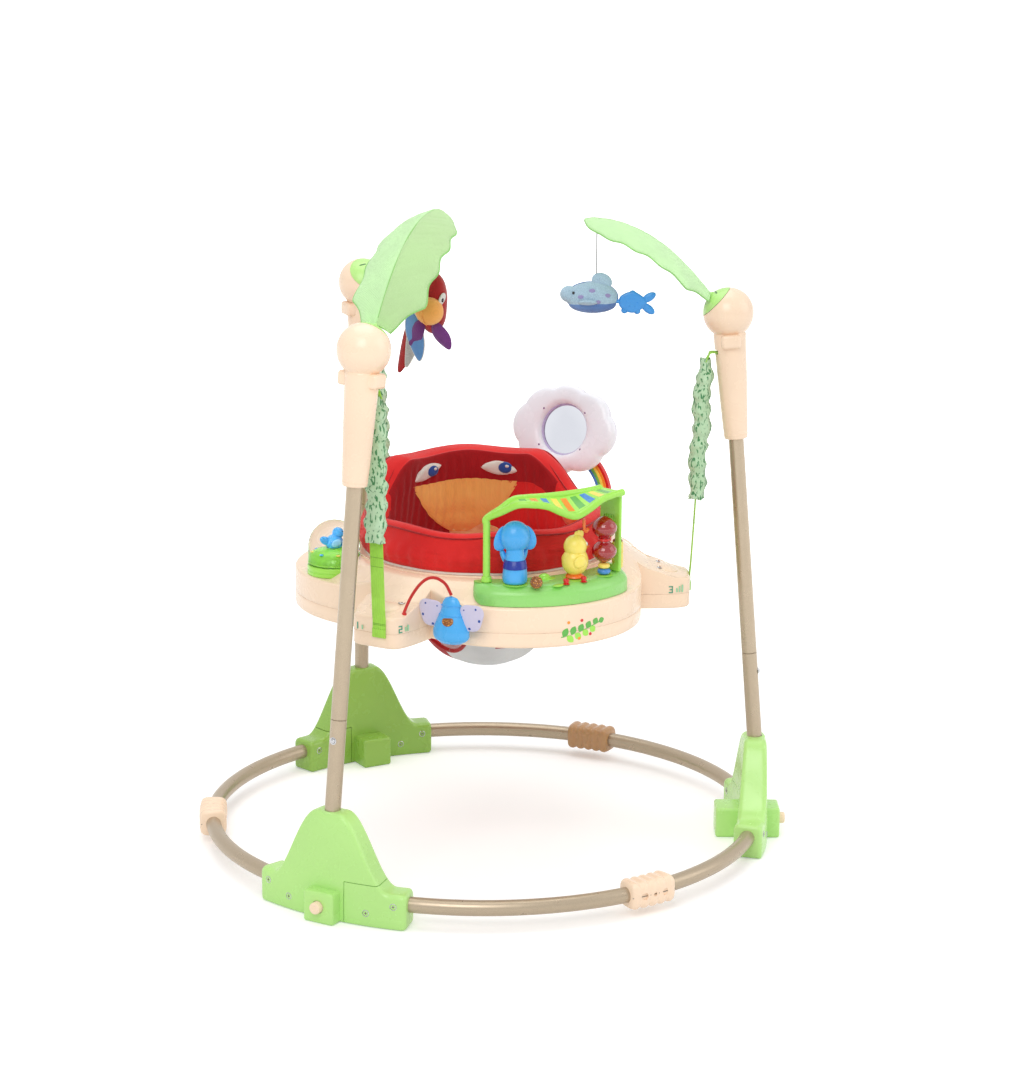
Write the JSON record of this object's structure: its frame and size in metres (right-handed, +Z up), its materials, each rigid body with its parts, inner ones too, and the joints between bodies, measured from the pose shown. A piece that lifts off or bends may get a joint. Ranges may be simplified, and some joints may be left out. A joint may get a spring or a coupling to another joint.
{
  "type": "baby activity jumper",
  "caption": "Free-standing baby jumper: leaning posts on a round floor ring, a tray with toys hung on sprung straps, and a turning fabric seat.",
  "frame": {"origin": "centre of the object's outline on the floor", "axes": "+Z up; the back foot lies towards +Y and the open front of the seat faces roughly -Y"},
  "size_m": [0.822, 0.8676, 0.9424],
  "materials": {
    "green_plastic": "smooth moulded, light gloss",
    "beige_plastic": "smooth moulded, light gloss",
    "taupe_steel": "metallic paint on steel tube",
    "steel": "plain",
    "lime_webbing": "woven webbing",
    "leaf_print": "gathered printed cloth",
    "leaf_cloth": "padded two-tone cloth",
    "blue_plush": "short plush and smooth cloth",
    "red_plush": "short plush and smooth cloth",
    "pond_plastic": "glossy moulded",
    "lime_plastic": "glossy moulded",
    "blue_plastic": "glossy moulded",
    "yellow_plastic": "glossy moulded",
    "red_glitter": "clear red with flecks",
    "clear_plastic": "clear, polished",
    "cloud_plastic": "glossy moulded, mirror plate in the middle",
    "rainbow_plastic": "glossy moulded in coloured bands",
    "red_cloth": "padded woven cloth",
    "white_plastic": "satin moulded"
  },
  "bodies": {
    "frame": {"foot_back": "green_plastic", "foot_wing_back": "green_plastic", "lower_post_back": "taupe_steel", "upper_post_back": "taupe_steel", "tower_back": "beige_plastic", "coupler_back": "beige_plastic", "base_tube_long_back": "taupe_steel", "base_tube_short_back": "taupe_steel", "tower_cap_back": "green_plastic", "sleeve_back": "leaf_print", "foot_left": "green_plastic", "foot_wing_left": "green_plastic", "lower_post_left": "taupe_steel", "upper_post_left": "taupe_steel", "tower_left": "beige_plastic", "coupler_left": "beige_plastic", "base_tube_long_left": "taupe_steel", "base_tube_short_left": "taupe_steel", "tower_cap_left": "green_plastic", "sleeve_left": "leaf_print", "foot_right": "green_plastic", "foot_wing_right": "green_plastic", "lower_post_right": "taupe_steel", "upper_post_right": "taupe_steel", "tower_right": "beige_plastic", "coupler_right": "beige_plastic", "base_tube_long_right": "taupe_steel", "base_tube_short_right": "taupe_steel", "tower_cap_right": "green_plastic", "sleeve_right": "leaf_print", "leaf_left": "leaf_cloth", "leaf_right": "leaf_cloth"},
    "tray": {"tray_top": "beige_plastic", "tray_base": "beige_plastic", "strap_back": "lime_webbing", "strap_left": "lime_webbing", "strap_right": "lime_webbing", "pond_base": "pond_plastic", "bridge": "lime_plastic", "dome_base": "lime_plastic", "dome_cover": "clear_plastic", "cloud_frame": "cloud_plastic", "cloud_arch": "rainbow_plastic", "bug_loop": "red_cloth"},
    "seat": {"seat_ring": "white_plastic", "seat_fabric": "red_cloth"},
    "knob_back": {"foot_knob_back": "beige_plastic"},
    "knob_left": {"foot_knob_left": "beige_plastic"},
    "knob_right": {"foot_knob_right": "beige_plastic"},
    "button_back": {"snap_button_back": "steel"},
    "button_left": {"snap_button_left": "steel"},
    "button_right": {"snap_button_right": "steel"},
    "blue_figure_body": {"blue_figure": "blue_plastic"},
    "bird_body": {"bird": "yellow_plastic"},
    "bead_spinner_body": {"bead_spinner": "red_glitter"},
    "roller_body": {"roller": "yellow_plastic"},
    "dome_figure_body": {"dome_figure": "pond_plastic"},
    "bug_body": {"bug": "blue_plastic"},
    "fish_body": {"fish": "blue_plush"},
    "parrot_body": {"parrot": "red_plush"}
  },
  "joints": [
    {"name": "tray_bounce", "type": "slide", "parent": "frame", "child": "tray", "axis": [0, 0, 1], "range_m": [-0.06, 0.03], "stiffness_N_per_m": 1500, "springref_m": 0.0359, "deforming": ["sleeve_back", "sleeve_left", "sleeve_right"]},
    {"name": "seat_spin", "type": "hinge", "parent": "tray", "child": "seat", "pos_m": [0, -0.0135, 0.43], "axis": [0, 0, 1], "continuous": true},
    {"name": "knob_push_back", "type": "slide", "parent": "frame", "child": "knob_back", "axis": [0, 1, 0], "range_m": [-0.004, 0], "stiffness_N_per_m": 600},
    {"name": "knob_push_left", "type": "slide", "parent": "frame", "child": "knob_left", "axis": [-0.866, -0.5, 0], "range_m": [-0.004, 0], "stiffness_N_per_m": 600},
    {"name": "knob_push_right", "type": "slide", "parent": "frame", "child": "knob_right", "axis": [0.866, -0.5, 0], "range_m": [-0.004, 0], "stiffness_N_per_m": 600},
    {"name": "button_push_back", "type": "slide", "parent": "frame", "child": "button_back", "axis": [-0.0027, 0.9965, 0.0833], "range_m": [-0.0026, 0], "stiffness_N_per_m": 600},
    {"name": "button_push_left", "type": "slide", "parent": "frame", "child": "button_left", "axis": [-0.8616, -0.5006, 0.0833], "range_m": [-0.0026, 0], "stiffness_N_per_m": 600},
    {"name": "button_push_right", "type": "slide", "parent": "frame", "child": "button_right", "axis": [0.8644, -0.4959, 0.0833], "range_m": [-0.0026, 0], "stiffness_N_per_m": 600},
    {"name": "figure_turn", "type": "hinge", "parent": "tray", "child": "blue_figure_body", "pos_m": [-0.07683, -0.23664, 0.441], "axis": [0, 0, 1], "continuous": true},
    {"name": "bird_turn", "type": "hinge", "parent": "tray", "child": "bird_body", "pos_m": [0.01038, -0.25127, 0.441], "axis": [0, 0, 1], "continuous": true},
    {"name": "bead_spin", "type": "hinge", "parent": "tray", "child": "bead_spinner_body", "pos_m": [0.05556, -0.25417, 0.441], "axis": [0, 0, 1], "continuous": true},
    {"name": "roller_spin", "type": "hinge", "parent": "tray", "child": "roller_body", "pos_m": [0.09031, -0.2337, 0.441], "axis": [0, 0, 1], "continuous": true},
    {"name": "dome_turn", "type": "hinge", "parent": "tray", "child": "dome_figure_body", "pos_m": [-0.21959, 0.03318, 0.413], "axis": [0, 0, 1], "continuous": true},
    {"name": "bug_swing", "type": "hinge", "parent": "tray", "child": "bug_body", "pos_m": [-0.16573, -0.21765, 0.43], "axis": [-0.5326, 0.8464, 0], "range_deg": [0, 25]},
    {"name": "fish_swing", "type": "hinge", "parent": "frame", "child": "fish_body", "pos_m": [0.14121, -0.08391, 0.90896], "axis": [0.5, 0.866, 0], "range_deg": [-20, 20]},
    {"name": "parrot_swing", "type": "hinge", "parent": "frame", "child": "parrot_body", "pos_m": [-0.13158, -0.10059, 0.93678], "axis": [0.5, -0.866, 0], "range_deg": [-20, 20]}
  ]
}
